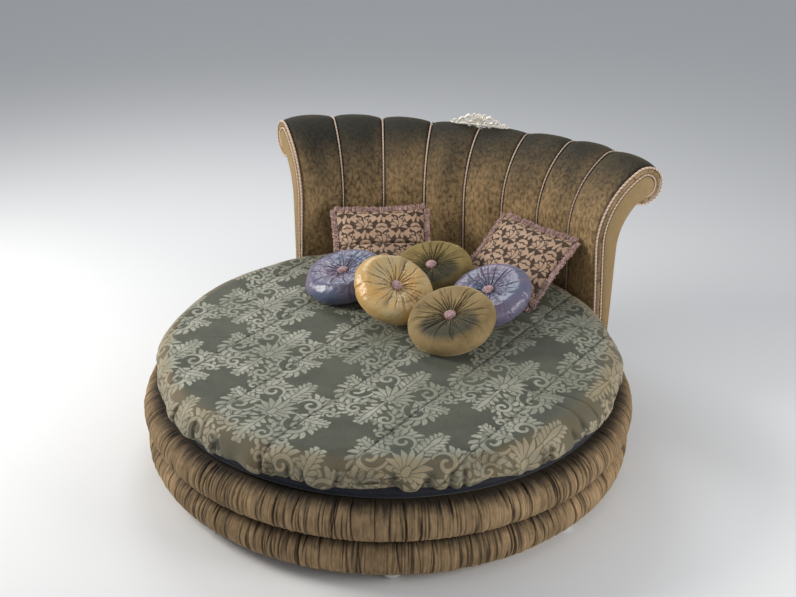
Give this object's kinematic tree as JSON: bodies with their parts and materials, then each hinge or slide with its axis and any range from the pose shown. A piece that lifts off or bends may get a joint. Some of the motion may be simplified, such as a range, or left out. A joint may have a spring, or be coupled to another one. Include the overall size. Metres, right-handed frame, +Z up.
{
  "type": "round upholstered bed",
  "caption": "Round upholstered bed on two padded rolls, with a channelled scroll headboard, a fitted quilted bedspread and loose cushions, for sleeping and lounging.",
  "frame": {"origin": "On the floor under the middle of the round base, on the sole of the centre leg.", "axes": "+Z up; +Y from the foot of the bed towards the headboard; +X to the right of someone who stands at the foot and looks at the headboard."},
  "size_m": [2.42, 2.7362, 1.3368],
  "materials": {
    "silver_feet": "satin silver leaf",
    "plywood": "sanded ply",
    "softwood": "planed",
    "steel_fasteners": "zinc plated",
    "black_lining": "non-woven",
    "olive_velvet": "crushed velvet",
    "tan_velvet": "plain velvet",
    "wadding": "felted wadding",
    "navy_ticking": "woven ticking",
    "grey_damask": "quilted damask",
    "cream_cord": "twisted cord",
    "carved_silver": "antique silver",
    "mauve_buttons": "beaded",
    "blue_satin": "satin",
    "gold_satin": "satin",
    "brown_damask": "damask",
    "mauve_fringe": "looped fringe"
  },
  "bodies": {
    "base": {"base_ring_lower": "plywood", "base_ring_upper": "plywood", "beam_cross": "softwood", "beam_long": "softwood", "bun_foot_1": "silver_feet", "bun_foot_2": "silver_feet", "bun_foot_3": "silver_feet", "bun_foot_4": "silver_feet", "bun_foot_5": "silver_feet", "bun_foot_6": "silver_feet", "bun_foot_7": "silver_feet", "bun_foot_8": "silver_feet", "centre_leg": "softwood", "channel_cords": "cream_cord", "crest": "carved_silver", "crest_pins": "steel_fasteners", "deck_half_left": "plywood", "deck_half_right": "plywood", "deck_screws": "steel_fasteners", "drum_wall": "plywood", "dust_cover": "black_lining", "end_band_left": "olive_velvet", "end_band_right": "olive_velvet", "end_cords": "cream_cord", "foot_studs": "steel_fasteners", "frame_posts": "softwood", "headboard_back_panel": "tan_velvet", "headboard_bolts": "steel_fasteners", "headboard_channel_1": "olive_velvet", "headboard_channel_2": "olive_velvet", "headboard_channel_3": "olive_velvet", "headboard_channel_4": "olive_velvet", "headboard_channel_5": "olive_velvet", "headboard_channel_6": "olive_velvet", "headboard_channel_7": "olive_velvet", "headboard_channel_8": "olive_velvet", "headboard_front_board": "plywood", "headboard_plinth": "plywood", "headboard_ribs": "plywood", "lower_roll": "olive_velvet", "scroll_packers": "wadding", "side_panel_left": "tan_velvet", "side_panel_right": "tan_velvet", "upper_roll": "olive_velvet"},
    "mattress_set": {"mattress": "navy_ticking", "bedspread": "grey_damask"},
    "blue_cushion_left_body": {"blue_cushion_left": "blue_satin", "blue_cushion_left_buttons": "mauve_buttons"},
    "gold_cushion_body": {"gold_cushion": "gold_satin", "gold_cushion_buttons": "mauve_buttons"},
    "olive_cushion_back_body": {"olive_cushion_back": "olive_velvet", "olive_cushion_back_buttons": "mauve_buttons"},
    "blue_cushion_right_body": {"blue_cushion_right": "blue_satin", "blue_cushion_right_buttons": "mauve_buttons"},
    "olive_cushion_front_body": {"olive_cushion_front": "olive_velvet", "olive_cushion_front_buttons": "mauve_buttons"},
    "damask_pillow_left_body": {"damask_pillow_left": "brown_damask", "damask_fringe_left": "mauve_fringe"},
    "damask_pillow_right_body": {"damask_pillow_right": "brown_damask", "damask_fringe_right": "mauve_fringe"}
  },
  "joints": [
    {"name": "mattress_lift", "type": "slide", "parent": "base", "child": "mattress_set", "axis": [0, -0.3007, 0.9537], "range_m": [0, 0.4]},
    {"name": "blue_cushion_left_lift", "type": "slide", "parent": "mattress_set", "child": "blue_cushion_left_body", "axis": [-0.6562, 0.3489, 0.6691], "range_m": [0, 0.35]},
    {"name": "gold_cushion_lift", "type": "slide", "parent": "mattress_set", "child": "gold_cushion_body", "axis": [-0.4226, 0, 0.9063], "range_m": [0, 0.35]},
    {"name": "olive_cushion_back_lift", "type": "slide", "parent": "mattress_set", "child": "olive_cushion_back_body", "axis": [0.092, 0.5219, 0.848], "range_m": [0, 0.35]},
    {"name": "blue_cushion_right_lift", "type": "slide", "parent": "mattress_set", "child": "blue_cushion_right_body", "axis": [0.4176, 0.6683, 0.6157], "range_m": [0, 0.35]},
    {"name": "olive_cushion_front_lift", "type": "slide", "parent": "mattress_set", "child": "olive_cushion_front_body", "axis": [-0.2113, -0.366, 0.9063], "range_m": [0, 0.35]},
    {"name": "damask_pillow_left_lift", "type": "slide", "parent": "mattress_set", "child": "damask_pillow_left_body", "axis": [-0.9023, -0.4304, 0.0262], "range_m": [0, 0.4]},
    {"name": "damask_pillow_right_lift", "type": "slide", "parent": "mattress_set", "child": "damask_pillow_right_body", "axis": [0.7877, -0.6155, 0.0262], "range_m": [0, 0.4]}
  ]
}
